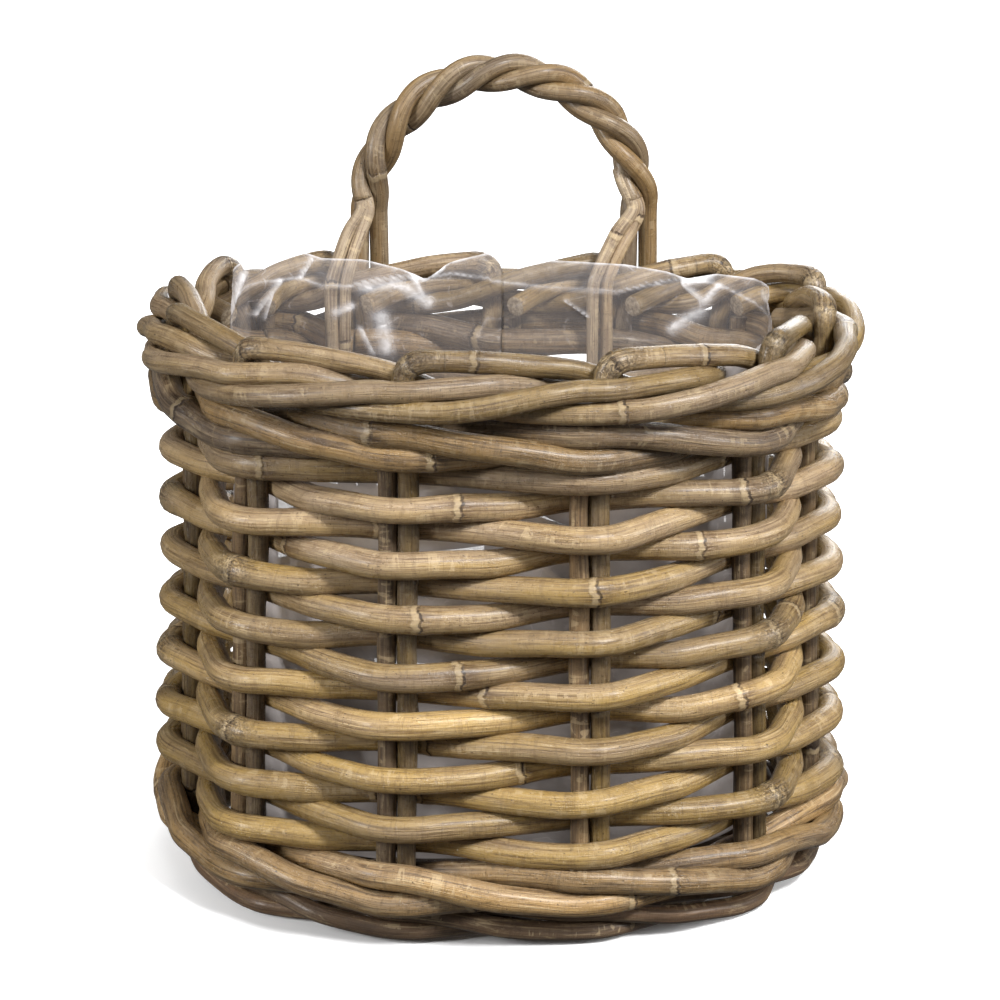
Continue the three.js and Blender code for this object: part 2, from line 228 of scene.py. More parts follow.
def add_cane(
    name,
    points,
    radius,
    look,
    blur=4.5,
    knees=(),
    wander=0.5,
    taper=None,
    replaces=None,
    flute=0.02,
    dim_below=None,
):
    """A whole cane along the points: it wanders a little, swells at nodes and knees and ends in cut discs."""
    rng = random.Random(name)
    path = smooth_path(points, blur)
    reach = np.arange(len(path)) * RING_PITCH
    length = reach[-1]
    nodes = []
    at = rng.uniform(10, 150)
    while at < length:
        nodes.append(at)
        at += rng.uniform(150, 300)
    for axis in range(3):
        kinks = [rng.uniform(-wander, wander) for _ in nodes]
        path[:, axis] += wander * waves(reach, rng, 75)
        if nodes:
            path[:, axis] += np.interp(reach, nodes, kinks)
    for point in knees:
        nodes.append(reach[np.argmin(np.linalg.norm(path - np.array(point), axis=1))])
    sides, ups, tangents = transport(path)
    nearest = np.full(len(path), 1000.0)
    for node in nodes:
        closer = np.abs(reach - node) < np.abs(nearest)
        nearest[closer] = (reach - node)[closer]
    size = radius * (1 + 0.035 * waves(reach, rng, 130))
    size *= 1 + 0.055 * np.exp(-((nearest / 3.2) ** 2)) + 0.03 * np.exp(-((nearest / 14) ** 2))
    crack = np.zeros(len(path))
    for point in knees:
        apart = np.linalg.norm(path - np.array(point), axis=1)
        crack = np.maximum(crack, np.exp(-((apart / 8) ** 2)))
    size *= 1 + 0.07 * crack
    if taper is not None:
        size *= np.interp(reach / length, [0, 1], taper)
    turn = np.linspace(0, 2 * math.pi, RING_SIDES, endpoint=False)
    phase = waves(reach, rng, 160)
    ring = 1 + flute * np.cos(2 * turn[None, :] + 2 * phase[:, None])
    ring += flute * 0.7 * np.cos(3 * turn[None, :] - 3 * phase[:, None] + 1)
    ring *= size[:, None]
    across = ring * np.cos(turn)
    upward = ring * np.sin(turn)
    body = path[:, None, :] + across[..., None] * sides[:, None, :] + upward[..., None] * ups[:, None, :]
    vertices = body.reshape(-1, 3)
    offset = rng.uniform(0, 4000)
    straight = np.stack([np.broadcast_to((reach + offset)[:, None], across.shape), across, upward], axis=2)
    straight = straight.reshape(-1, 3)
    nearest = np.repeat(nearest, RING_SIDES)
    crack = np.repeat(crack, RING_SIDES)
    faces = []
    for i in range(len(path) - 1):
        for j in range(RING_SIDES):
            k = (j + 1) % RING_SIDES
            first, second = i * RING_SIDES, (i + 1) * RING_SIDES
            faces.append((first + j, first + k, second + k, second + j))
    slots = [0] * len(faces)
    for end, sign in ((0, -1), (len(path) - 1, 1)):
        rim = list(range(end * RING_SIDES, (end + 1) * RING_SIDES))
        inner = []
        for share, bulge in ((0.93, 0.35), (0.55, 0.5)):
            start = len(vertices)
            disc = path[end] + (body[end] - path[end]) * share + sign * bulge * tangents[end]
            vertices = np.concatenate([vertices, disc])
            along = np.full(RING_SIDES, reach[end] + offset)
            flat = np.stack([along, across[end] * share, upward[end] * share], 1)
            straight = np.concatenate([straight, flat])
            nearest = np.concatenate([nearest, np.full(RING_SIDES, 50.0)])
            crack = np.concatenate([crack, np.zeros(RING_SIDES)])
            outer = inner or rim
            inner = list(range(start, start + RING_SIDES))
            for j in range(RING_SIDES):
                k = (j + 1) % RING_SIDES
                quad = (outer[j], outer[k], inner[k], inner[j])
                faces.append(quad if sign > 0 else quad[::-1])
                slots.append(0 if share > 0.9 else 1)
        faces.append(tuple(inner) if sign > 0 else tuple(reversed(inner)))
        slots.append(1)
    tone = rng.uniform(*look["tone"])
    light = np.full(len(vertices), rng.uniform(*look["light"]))
    # painted shade: a main stake's colour is darkened below dim_below, down to 0.6 twelve millimetres under
    # it
    if dim_below is not None:
        light *= np.interp(vertices[:, 2], [dim_below - 12, dim_below], [0.6, 1])
    count = len(vertices)
    piece = add_mesh(
        name,
        vertices * MM,
        faces,
        [look["skin"], END_GRAIN],
        slots,
        floats={
            "node": nearest,
            "crack": crack,
            "tone": np.full(count, tone),
            "light": light,
        },
        vectors={"straight": straight},
    )
    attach(piece, "root")
    if replaces:
        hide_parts(replaces)
    return piece


def numbered(name, index):
    return f"{name}_{index + 1:02d}"


# ---- Materials ----


class Shader:
    """Builds one material; each input is a number, a colour or another node's output."""

    def __init__(self, name):
        self.material = bpy.data.materials.new(name)
        self.material.use_nodes = True
        self.tree = self.material.node_tree
        self.tree.nodes.clear()

    def node(self, kind, inputs, **settings):
        node = self.tree.nodes.new(kind)
        for key, value in settings.items():
            setattr(node, key, value)
        for key, value in inputs.items():
            if isinstance(value, bpy.types.NodeSocket):
                self.tree.links.new(value, node.inputs[key])
            else:
                node.inputs[key].default_value = value
        return node

    def attribute(self, name, output="Fac"):
        return self.node("ShaderNodeAttribute", {}, attribute_name=name).outputs[output]

    def math(self, operation, a, b=0.0, clamp=False):
        return self.node("ShaderNodeMath", {0: a, 1: b}, operation=operation, use_clamp=clamp).outputs[0]

    def stretched(self, vector, scale):
        return self.node("ShaderNodeVectorMath", {0: vector, 1: scale}, operation="MULTIPLY").outputs[0]

    def noise(self, vector, scale, detail=3.0, roughness=0.55, distortion=0.0):
        inputs = {
            "Vector": vector,
            "Scale": scale,
            "Detail": detail,
            "Roughness": roughness,
            "Distortion": distortion,
        }
        return self.node("ShaderNodeTexNoise", inputs).outputs["Fac"]

    def between(self, value, low, high, to_low=0.0, to_high=1.0):
        inputs = {0: value, 1: low, 2: high, 3: to_low, 4: to_high}
        return self.node("ShaderNodeMapRange", inputs, interpolation_type="SMOOTHSTEP").outputs[0]

    def mix(self, factor, a, b, blend="MIX"):
        inputs = {0: factor, 6: a, 7: b}
        return self.node("ShaderNodeMix", inputs, data_type="RGBA", blend_type=blend).outputs[2]

    def bump(self, height, distance, strength, normal=None):
        inputs = {"Height": height, "Distance": distance, "Strength": strength}
        if normal:
            inputs["Normal"] = normal
        return self.node("ShaderNodeBump", inputs).outputs[0]

    def finish(self, inputs):
        surface = self.node("ShaderNodeBsdfPrincipled", inputs)
        self.node("ShaderNodeOutputMaterial", {0: surface.outputs[0]})
        return self.material


def colour(red, green, blue):
    return red, green, blue, 1.0


def rattan(name, olive, grey, dark, stripes=0.5, rough=0.3, weathered=0.45):
    """Cane skin: mottled between two colours, streaked lengthwise, ringed at its nodes and scratched."""
    s = Shader(name)
    straight = s.attribute("straight", "Vector")
    tone = s.attribute("tone")
    light = s.attribute("light")
    node = s.attribute("node")
    crack = s.attribute("crack")

    cloud = s.noise(s.stretched(straight, (0.011, 0.09, 0.09)), 1.0, 4.0)
    stain = s.noise(s.stretched(straight, (0.016, 0.16, 0.16)), 1.0, 5.0, 0.62, 0.3)
    patch = s.noise(s.stretched(straight, (0.06, 0.24, 0.24)), 1.0, 5.0, 0.68, 0.5)
    streak = s.noise(s.stretched(straight, (0.022, 0.9, 0.9)), 1.0, 5.0, 0.7)
    fibre = s.noise(s.stretched(straight, (0.05, 3.2, 3.2)), 1.0, 3.0, 0.6)
    rib = s.noise(s.stretched(straight, (2.2, 0.25, 0.25)), 1.0, 3.0, 0.65, 0.3)
    speck = s.noise(s.stretched(straight, (0.8, 1.5, 1.5)), 1.0, 2.0, 0.5)
    scale = s.noise(s.stretched(straight, (0.24, 0.075, 0.075)), 1.0, 2.5, 0.5, 1.1)

    blend = s.math("ADD", s.math("MULTIPLY", s.math("SUBTRACT", cloud, 0.5), 3.0), tone, clamp=True)
    skin = s.mix(blend, olive, grey)
    pale = s.mix(0.6, grey, colour(0.8, 0.62, 0.36))
    skin = s.mix(s.between(patch, 0.54, 0.7, 0.0, 0.5), skin, pale)
    skin = s.mix(s.between(stain, 0.46, 0.3, 0.0, weathered), skin, dark)
    skin = s.mix(s.between(patch, 0.4, 0.27, 0.0, weathered), skin, dark)
    skin = s.mix(s.between(streak, 0.5, 0.62, 0.0, stripes), skin, dark)
    skin = s.mix(s.between(streak, 0.44, 0.33, 0.0, stripes * 0.8), skin, pale)
    fine_lines = s.math("MULTIPLY", s.between(fibre, 0.5, 0.62), s.between(cloud, 0.38, 0.6, 0.25, 0.85))
    skin = s.mix(fine_lines, skin, s.mix(0.6, skin, dark))
    scaled = s.math("MULTIPLY", s.between(scale, 0.575, 0.59), s.between(stain, 0.5, 0.57, 0.0, 0.38))
    skin = s.mix(scaled, skin, pale)
    skin = s.mix(s.between(scale, 0.4, 0.39, 0.0, 0.22), skin, dark)
    skin = s.mix(s.between(rib, 0.56, 0.68, 0.0, 0.3), skin, dark)
    skin = s.mix(s.between(speck, 0.67, 0.71, 0.0, 0.85), skin, colour(0.045, 0.025, 0.012))

    wave = s.noise(s.stretched(straight, (0.05, 0.3, 0.3)), 1.0, 3.0)
    wavy = s.math("MULTIPLY", s.math("SUBTRACT", wave, 0.5), 5.0)
    ragged = s.math("ADD", node, wavy)
    ring = s.between(s.math("ABSOLUTE", ragged), 0.7, 0.25)
    ring = s.math("MULTIPLY", ring, s.between(patch, 0.4, 0.6, 0.15, 1.0))
    lip = s.between(s.math("ABSOLUTE", s.math("ADD", ragged, 1.9)), 1.7, 0.7)
    halo = s.between(s.math("ABSOLUTE", node), 10.0, 1.0)
    skin = s.mix(s.math("MULTIPLY", halo, s.between(streak, 0.4, 0.56, 0.1, 0.65)), skin, dark)
    skin = s.mix(s.math("MULTIPLY", lip, 0.5), skin, pale)
    skin = s.mix(s.math("MULTIPLY", ring, 0.9), skin, colour(0.04, 0.022, 0.012))
    split = s.noise(s.stretched(straight, (0.5, 0.3, 0.3)), 1.0, 3.0, 0.7, 1.6)
    split_edge = s.math("ABSOLUTE", s.math("SUBTRACT", split, 0.5))
    split = s.math("MULTIPLY", s.between(split_edge, 0.04, 0.012), crack)
    skin = s.mix(s.math("MULTIPLY", split, 0.9), skin, colour(0.05, 0.028, 0.015))
    skin = s.mix(s.math("MULTIPLY", crack, s.between(fibre, 0.5, 0.6, 0.0, 0.6)), skin, pale)
    # the light attribute scales the colour: a brightness picked per cane from the look's range, lowered as
    # painted shade on main stakes below the border and on the loop
    brightness = s.node("ShaderNodeCombineColor", {0: light, 1: light, 2: light}).outputs[0]
    skin = s.mix(1.0, skin, brightness, "MULTIPLY")

    shine = s.math("ADD", s.math("MULTIPLY", s.math("SUBTRACT", patch, 0.5), 0.7), rough)
    shine = s.math("ADD", shine, s.math("MULTIPLY", ring, 0.3), clamp=True)
    relief = s.math("SUBTRACT", s.math("MULTIPLY", streak, -0.7), s.math("MULTIPLY", ring, 0.9))
    relief = s.math("SUBTRACT", relief, s.math("MULTIPLY", split, 0.9))
    relief = s.math("ADD", relief, s.math("MULTIPLY", lip, 0.35))
    normal = s.bump(relief, 0.0009, 0.8)
    fine = s.math("SUBTRACT", s.math("MULTIPLY", rib, 0.7), s.math("MULTIPLY", fibre, 0.8))
    normal = s.bump(fine, 0.0004, 0.8, normal)
    return s.finish({
        "Base Color": skin,
        "Roughness": shine,
        "Normal": normal,
        "Specular IOR Level": 0.4,
        "Coat Weight": 0.25,
        "Coat Roughness": 0.3,
    })


def end_grain():
    """The cut end of a cane: pale pith full of pores, darker towards the skin."""
    s = Shader("end_grain")
    straight = s.attribute("straight", "Vector")
    cells = {"Vector": straight, "Scale": 2.1, "Randomness": 0.8}
    pores = s.node("ShaderNodeTexVoronoi", cells).outputs["Distance"]
    worn = s.noise(straight, 0.6, 4.0)
    pith = s.mix(s.between(worn, 0.35, 0.65), colour(0.42, 0.34, 0.24), colour(0.2, 0.145, 0.09))
    pith = s.mix(s.between(pores, 0.32, 0.2, 0.0, 0.85), pith, colour(0.05, 0.032, 0.02))
    normal = s.bump(s.between(pores, 0.2, 0.4), 0.0004, 0.8)
    return s.finish({"Base Color": pith, "Roughness": 0.85, "Normal": normal})


def film():
    """Clear film: smooth and shiny, with painted white highlights along creases and hem over a little real
    haze where the hem is doubled; all round except along the back it is more opaque and has a painted glow,
    standing in for light shining through it.
    """
    s = Shader("clear_film")
    where = s.attribute("straight", "Vector")
    haze_and_highlight = s.attribute("haze_and_highlight")
    front_veil_and_glow = s.attribute("front_veil_and_glow")
    crinkle = s.noise(s.stretched(where, (0.022, 0.03, 1.0)), 1.0, 3.0, 0.5, 0.6)
    fine = s.noise(s.stretched(where, (0.2, 0.25, 1.0)), 1.0, 4.0, 0.6, 0.5)
    ridge = s.math("ABSOLUTE", s.math("SUBTRACT", crinkle, 0.5))
    crease = s.math("MULTIPLY", s.between(ridge, 0.008, 0.0), s.between(fine, 0.4, 0.6))
    facing = s.node("ShaderNodeLayerWeight", {"Blend": 0.3}).outputs["Facing"]
    solid = s.math("ADD", 0.15, s.math("MULTIPLY", facing, 0.2))
    solid = s.math("ADD", solid, s.math("MULTIPLY", crease, 0.2))
    # haze_and_highlight: a little real haze where the hem is doubled, and painted white highlights along hem,
    # top edge, creases and gathers, which whiten the colour and make the film more opaque
    solid = s.math("ADD", solid, s.math("MULTIPLY", haze_and_highlight, s.between(fine, 0.3, 0.7, 0.35, 0.85)))
    # painted glow: all round except along the back the film is made more opaque and emits light, standing in
    # for light shining through it from inside the basket
    solid = s.math("ADD", solid, s.math("MULTIPLY", front_veil_and_glow, 0.6), clamp=True)
    painted_glow = s.math("MULTIPLY", front_veil_and_glow, s.between(crinkle, 0.35, 0.65, 0.03, 0.17))
    normal = s.bump(crinkle, 0.005, 0.7)
    normal = s.bump(fine, 0.0005, 0.4, normal)
    clear = s.mix(fine, colour(0.42, 0.38, 0.37), colour(0.6, 0.56, 0.55))
    return s.finish({
        "Base Color": s.mix(haze_and_highlight, clear, colour(0.95, 0.94, 0.96)),
        "Roughness": s.between(fine, 0.3, 0.7, 0.08, 0.22),
        "Normal": normal,
        "Alpha": solid,
        "Specular IOR Level": 0.8,
        "Emission Color": colour(0.8, 0.73, 0.7),
        "Emission Strength": painted_glow,
    })


END_GRAIN = end_grain()
FILM = film()
OLIVE = colour(0.435, 0.285, 0.096)
TAN = colour(0.395, 0.247, 0.101)
GREY = colour(0.4, 0.285, 0.17)
BROWN = colour(0.1, 0.054, 0.024)
DARK = colour(0.05, 0.029, 0.016)
WALE_GREY = colour(0.245, 0.172, 0.108)
FOOT_BROWN = colour(0.15, 0.083, 0.038)
FOOT_GREY = colour(0.13, 0.084, 0.048)
BYE_BROWN = colour(0.22, 0.135, 0.058)
BYE_GREY = colour(0.14, 0.095, 0.055)
LOOP_GREY = colour(0.37, 0.285, 0.19)
body_skin = rattan("body_rattan", OLIVE, GREY, BROWN, stripes=0.6)
wale_skin = rattan("wale_rattan", TAN, WALE_GREY, DARK, stripes=0.7, weathered=0.8)
foot_skin = rattan("foot_rattan", FOOT_BROWN, FOOT_GREY, DARK, stripes=0.7, rough=0.5)
bye_skin = rattan("stake_rattan", BYE_BROWN, BYE_GREY, DARK, stripes=0.7, rough=0.5)
border_skin = rattan("border_rattan", OLIVE, GREY, BROWN, stripes=0.65)
loop_skin = rattan("loop_rattan", TAN, LOOP_GREY, BROWN, stripes=0.6, rough=0.36)

BODY = {"skin": body_skin, "slot": "body_cane", "tone": (0.0, 0.8), "light": (0.7, 1.14)}
WALE = {"skin": wale_skin, "slot": "wale_cane", "tone": (0.1, 0.9), "light": (0.55, 0.93)}
FOOT = {"skin": foot_skin, "slot": "foot_cane", "tone": (0.0, 0.8), "light": (0.95, 1.4)}
STAKE = {"skin": border_skin, "slot": "stake_wood", "tone": (0.0, 1.0), "light": (0.45, 0.78)}
BYE = {"skin": bye_skin, "slot": "stake_wood", "tone": (0.0, 0.8), "light": (0.75, 1.25)}
# LOOP's low light range is partly the cane's own darker tone and partly painted shade for the shadows between
# the twisted strands
LOOP = {"skin": loop_skin, "slot": "loop_cane", "tone": (0.0, 0.45), "light": (0.5, 0.68)}
SPLIT = {"skin": loop_skin, "slot": "loop_cane", "tone": (0.9, 1.0), "light": (0.92, 1.05)}
BASE = {"skin": bye_skin, "slot": "base_wood", "tone": (0.0, 0.8), "light": (0.8, 1.2)}

# ---- Wales: three canes, each in front of two pairs and behind the third ----


def add_wale(name, z, rise, radius, reach, look):
    spread = spread_at(z)
    at_pair = [(-reach, z), (reach, z + rise), (reach, z - rise)]
    in_gap = [(-1, z + rise), (reach + WALE_BULGE, z), (-1, z - rise)]
    for first in range(3):
        points = []
        for n in range(PAIRS + 1):
            pair = (first + n) % PAIRS
            phase = (pair - first) % 3
            out, height = at_pair[phase]
            start = 0.4 if n == 0 else -PAIR_ZONE
            end = -0.4 if n == PAIRS else PAIR_ZONE
            points.append(place(pair, start, out, height, spread))
            points.append(place(pair, end, out, height, spread))
            if n < PAIRS and ((pair + 1) % PAIRS - first) % 3 != phase:
                gap_out, gap_height = in_gap[phase]
                points.append(place(pair + 0.5, 0, gap_out, gap_height, spread))
        node = numbered(name, first)
        add_cane(f"{node}_cane", points, radius, look, replaces=node)


add_wale("foot_wale", FOOT_Z, FOOT_RISE, FOOT_RADIUS, FOOT_REACH, FOOT)
base_look = dict(WALE, tone=(0.0, 0.35), light=(0.75, 1.1))
add_wale("base_wale", BASE_WALE_Z, WALE_RISE, CANE_RADIUS, CANE_REACH, base_look)
add_wale("top_wale", TOP_WALE_Z, WALE_RISE, CANE_RADIUS, CANE_REACH, WALE)

# ---- Body: one spiral, over one pair and under the next, pieced from canes that meet behind a pair ----


def body_point(step, along, out, z):
    """A row's point: it climbs to the right, sags a little mid-front, and is never quite even."""
    point = place(step, along, out, z, spread_at(z))
    share = (z - BASE_WALE_Z - WALE_RISE) / (TOP_WALE_Z - WALE_RISE - BASE_WALE_Z - WALE_RISE)
    side = point[0] / HALF_WIDTH
    point[2] += math.sin(math.pi * share) * (ROW_TILT * side + ROW_SAG * (side * side - 0.4))
    point[2] += random.Random(f"row {round(step * 2)}").uniform(-ROW_JITTER, ROW_JITTER)
    return point


def body_cane(first, last):
    points = []
    for step in range(first, last + 1):
        z = FIRST_ROW_Z + ROW_PITCH * (step // PAIRS)
        out = -CANE_REACH if step % 2 == 0 else CANE_REACH
        points.append(body_point(step, 0.4 if step == first else -PAIR_ZONE, out, z))
        points.append(body_point(step, -0.4 if step == last else PAIR_ZONE, out, z))
        if step < last:
            points.append(body_point(step + 0.5, 0, 0, z))
    return points


CORNER_PAIRS = (4, 5, 8, 9)


def is_bent(step):
    """Whether a cane cracks into a knee where it goes round the outside of this pair."""
    return step % PAIRS in CORNER_PAIRS and step % 2 == 1 and step % 3 == 0


last_step = ROWS * PAIRS - 1
for i in range(last_step // CANE_STEPS):
    last = last_step if i == last_step // CANE_STEPS - 1 else (i + 1) * CANE_STEPS
    node = numbered("body_cane", i)
    bent = [step for step in range(i * CANE_STEPS + 1, last) if is_bent(step)]
    knees = [body_point(step, 2, CANE_REACH, FIRST_ROW_Z + ROW_PITCH * (step // PAIRS)) for step in bent]
    height = i * CANE_STEPS / last_step
    look = dict(BODY, tone=(0.6 * height, 0.25 + 0.75 * height))
    add_cane(f"{node}_whole", body_cane(i * CANE_STEPS, last), CANE_RADIUS, look, knees=knees, replaces=node)

# ---- Stakes ----


def upright(pair, along, heights):
    return [place(pair, along, 0, z, spread_at(z)) for z in heights]


def border_run(pair):
    spread = spread_at(BORDER_Z)
    reach = STAKE_RADIUS + BORDER_RADIUS + 0.6
    z = BORDER_Z

    def at(step, along, out, height):
        return place(step, along, out, height, spread)

    inside, low, high = pair + 1, pair + 2, pair + 3
    return [
        at(pair, HALF_PAIR, 0, z + KNEE_RISE - 6),
        at(pair, HALF_PAIR + 1.8, 0, z + KNEE_RISE - 1.8),
        at(pair, HALF_PAIR + 6, 0, z + KNEE_RISE),
        at(pair + 0.5, 0, -4.5, z + 17.5),
        at(pair + 0.8, 0, -7.5, z + 14.4),
        at(inside, -5, -reach, z + 12.5),
        at(inside, 6, -reach, z + 8.5),
        at(inside + 0.25, 0, -6.5, z + 3.5),
        at(inside + 0.5, 0, 0, z - 0.1),
        at(inside + 0.75, 0, 6, z),
        at(low, -6, reach, z),
        at(low, 6, reach, z),
        at(low + 0.25, 0, reach + 3, z + 1.5),
        at(low + 0.5, 0, reach + 4, z + 4.5),
        at(low + 0.75, 0, reach + 3, z + 7.5),
        at(high, -6, reach, z + BORDER_STEP),
        at(high, 6, reach, z + BORDER_STEP),
        at(high + 0.25, 0, 5, z + BORDER_STEP + 0.5),
        at(high + 0.5, 0, 0, z + BORDER_STEP + 0.3),
        at(high + 0.7, 0, -7, z + 6),
        at(high + 0.88, 0, -18.5, z + 3.4),
    ]


# painted shade: a main stake's colour darkens below this height
STAKE_SHADE_TOP = 205  # below this height a main stake is darker, like the stake beside it
for pair in range(PAIRS):
    node = numbered("main_stake", pair)
    knee = place(pair, HALF_PAIR + 3, 0, BORDER_Z + KNEE_RISE - 1, spread_at(BORDER_Z))
    main = upright(pair, HALF_PAIR, STAKE_HEIGHTS) + border_run(pair)
    add_cane(
        f"{node}_cane",
        main,
        STAKE_RADIUS,
        STAKE,
        blur=3.2,
        knees=[knee],
        wander=0.35,
        taper=(1, 1.22),
        replaces=node,
        flute=0.035,
        dim_below=STAKE_SHADE_TOP,
    )
    if pair in LOOP_PAIRS:
        continue
    node = numbered("bye_stake", pair)
    bye = upright(pair, -HALF_PAIR, STAKE_HEIGHTS[2:-2] + [BYE_TOP])
    add_cane(f"{node}_cane", bye, STAKE_RADIUS, BYE, wander=0.3, replaces=node, flute=0.035)

# ---- Carrying loop: three strands laid up like a rope ----

LOOP_STEPS = 132
side_step = LOOP_TWIST_RADIUS * math.cos(math.pi / 6)
back_step = LOOP_TWIST_RADIUS * math.sin(math.pi / 6)
left_leg, right_leg = (place(pair, -HALF_PAIR, 0, 0, spread_at(BORDER_Z)) for pair in LOOP_PAIRS)
loop_middle = (left_leg[0] + right_leg[0]) / 2 + side_step
loop_half = (right_leg[0] - left_leg[0]) / 2


def strand_twist(lag):
    points = []
    for i in range(LOOP_STEPS + 1):
        share = i / LOOP_STEPS
        sweep = math.pi * (1 - share)
        twist = -math.pi / 6 - 2 * math.pi * LOOP_TURNS * share + lag
        outward = np.array([math.cos(sweep), 0, math.sin(sweep)])
        front = np.array([0, -1, 0])
        middle = np.array([
            loop_middle + loop_half * math.cos(sweep),
            BACK_LINE + FRAME_Y - back_step,
            LOOP_SPRING_Z + (LOOP_APEX_Z - LOOP_SPRING_Z) * math.sin(sweep),
        ])
        points.append(middle + LOOP_TWIST_RADIUS * (math.cos(twist) * outward + math.sin(twist) * front))
    return points


def leg_points(foot, places):
    return [np.array([foot[0] + x, BACK_LINE + FRAME_Y + out, z]) for x, out, z in places]


def deep_leg(pair):
    return upright(pair, -HALF_PAIR, STAKE_HEIGHTS[1:] + [BORDER_Z + 21.5])


def beside_leg(foot):
    return leg_points(foot, [(2 * side_step, 1.2, BORDER_Z + 6), (2 * side_step, 0.6, BORDER_Z + 25.5)])


def inside_leg(foot, lean):
    return leg_points(foot, [
        (-lean, -18.6, BORDER_Z - 23),
        (-lean, -18.6, BORDER_Z + 13.5),
        (-lean * 0.6, -15.6, BORDER_Z + 25),
        (-lean * 0.15, -10.5, BORDER_Z + 35),
    ])


def add_strand(name, lag, left_points, right_points):
    points = left_points + strand_twist(lag) + right_points[::-1]
    add_cane(f"{name}_cane", points, STRAND_RADIUS, LOOP, blur=2.5, wander=0.2, replaces=name)


def add_split_leg(name, leg, twist_end):
    """One leg of the inside strand, split into two thin halves that lie side by side."""
    for half, side in (("near", -1), ("far", 1)):
        apart = np.array([side * SPLIT_APART, side * 0.8, 0])
        points = [point + apart for point in leg] + [point + apart * 0.3 for point in twist_end]
        add_cane(f"{name}_{half}_half", points, SPLIT_RADIUS, SPLIT, blur=3, wander=0.3, taper=(1, 1.15))


third = 2 * math.pi / 3
add_strand("loop_strand_left", 0, deep_leg(LOOP_PAIRS[0]), beside_leg(right_leg))
add_strand("loop_strand_right", -third, beside_leg(left_leg), deep_leg(LOOP_PAIRS[1]))
twist = strand_twist(third)
add_cane(
    "loop_strand_inside_cane",
    twist[3:-3],
    STRAND_RADIUS,
    LOOP,
    blur=2.5,
    wander=0.2,
    replaces="loop_strand_inside",
)
add_split_leg("loop_leg_left", inside_leg(left_leg, 9), twist[:14])
add_split_leg("loop_leg_right", inside_leg(right_leg, 13), twist[:-15:-1])

# ---- Base ----

STICK_X = (-50, 0, 50)
STICK_Z = 12.5
BASE_ROW_PITCH = 9
BASE_WEAVE = 8.1
BASE_ROWS_EACH = 5
BASE_ROWS = 14
STICK_RADIUS = 3.4
BASE_CANE_RADIUS = 4.2
base_inset = FOOT_REACH + FOOT_RADIUS + 0.5
base_edge = [place(step / 20, 0, -base_inset, 0, spread_at(FOOT_Z)) for step in range(PAIRS * 10 + 1)]
base_back = BACK_LINE + FRAME_Y - base_inset


def base_half_width(y):
    def edge(level):
        return -[point for point in base_edge if point[1] >= level - 0.1][-1][0]

    return min(edge(y - FOOT_RADIUS), edge(y + FOOT_RADIUS)) - 1


def base_row(row):
    y = base_back - FOOT_RADIUS - BASE_ROW_PITCH * row
    half = base_half_width(y)
    points = [np.array([-half, y, STICK_Z])]
    for i, x in enumerate(STICK_X):
        rise = BASE_WEAVE if (row + i) % 2 == 0 else -BASE_WEAVE
        points.append(np.array([x, y, STICK_Z + rise]))
    points.append(np.array([half, y, STICK_Z]))
    return points if row % 2 == 0 else points[::-1]


for i, x in enumerate(STICK_X):
    front = min(point[1] for point in base_edge if abs(point[0]) >= abs(x) - 2)
    node = numbered("base_stick", i)
    ends = [np.array([x, front, STICK_Z]), np.array([x, base_back, STICK_Z])]
    add_cane(f"{node}_cane", ends, STICK_RADIUS, BASE, wander=0.2, replaces=node)

for i in range(3):
    rows = range(i * BASE_ROWS_EACH, min((i + 1) * BASE_ROWS_EACH, BASE_ROWS))
    points = [point for row in rows for point in base_row(row)]
    node = numbered("base_cane", i)
    add_cane(f"{node}_whole", points, BASE_CANE_RADIUS, BASE, blur=2.5, wander=0.2, replaces=node)

# ---- Film liner: a thin crumpled bag, free along its top edge and tucked below the border in front ----

LINER_INSET = 15.6
LINER_BACK_GAP = 24.2
LINER_BACK = BACK_LINE + FRAME_Y - LINER_BACK_GAP
LINER_FLOOR = 26
FRONT_TOP = 234
LINER_ACROSS = 560
LINER_UP = 190
# The free edge along the back wall: how far to the right, and how high.
BACK_EDGE = [
    (-129, 248),
    (-105, 256),
    (-88, 258),
    (-78, 254.5),
    (-60, 254),
    (-44, 250),
    (-35, 246),
    (-22, 253),
    (-6, 257),
    (20, 254),
    (54, 252),
    (72, 249),
    (83, 246),
    (94, 248),
    (124, 244),
]
PINCHES = (-35, 83)  # where the edge is gathered and the hem runs into it
HEM = 12.5
# Creases in the back wall with a painted white highlight along them: from and to (across, up), then how wide.
CREASES = [
    (-83, 254, -88, 246, 1.0),
    (-97, 244, -108, 230, 1.4),
    (-100, 240, -104, 228, 0.9),
    (-112, 248, -116, 238, 1.6),
    (-61, 241, -45, 243, 2.6),
    (-45, 243, -33, 235, 2.8),
    (-40, 247, -35, 236, 1.6),
    (-73, 230, -66, 233, 1.8),
    (-53, 228, -51, 214, 3.8),
    (-62, 223, -57, 212, 1.2),
    (-26, 250, -35, 246, 1.0),
    (81, 244, 89, 236, 1.4),
    (75, 223, 88, 231, 2.3),
    (95, 242, 89, 235, 1.8),
    (92, 246, 84, 244, 1.4),
    (116, 240, 124, 244, 3.0),
    (28, 236, 38, 229, 0.6),
]


def ridged(across, up, rng, length, terms=5):
    """Sharp folds: low between the ridges, 1 on them."""
    total = np.zeros_like(across)
    for _ in range(terms):
        angle = rng.uniform(0, math.pi)
        scale = 2 * math.pi / (length * rng.uniform(0.6, 1.6))
        line = (across * math.cos(angle) + up * math.sin(angle)) * scale + rng.uniform(0, 6.28)
        aside = (across * math.sin(angle) - up * math.cos(angle)) * scale * 0.45
        bend = 0.8 * np.sin(aside + rng.uniform(0, 6.28))
        total += 1 - np.abs(np.sin(line + bend))
    return total / terms


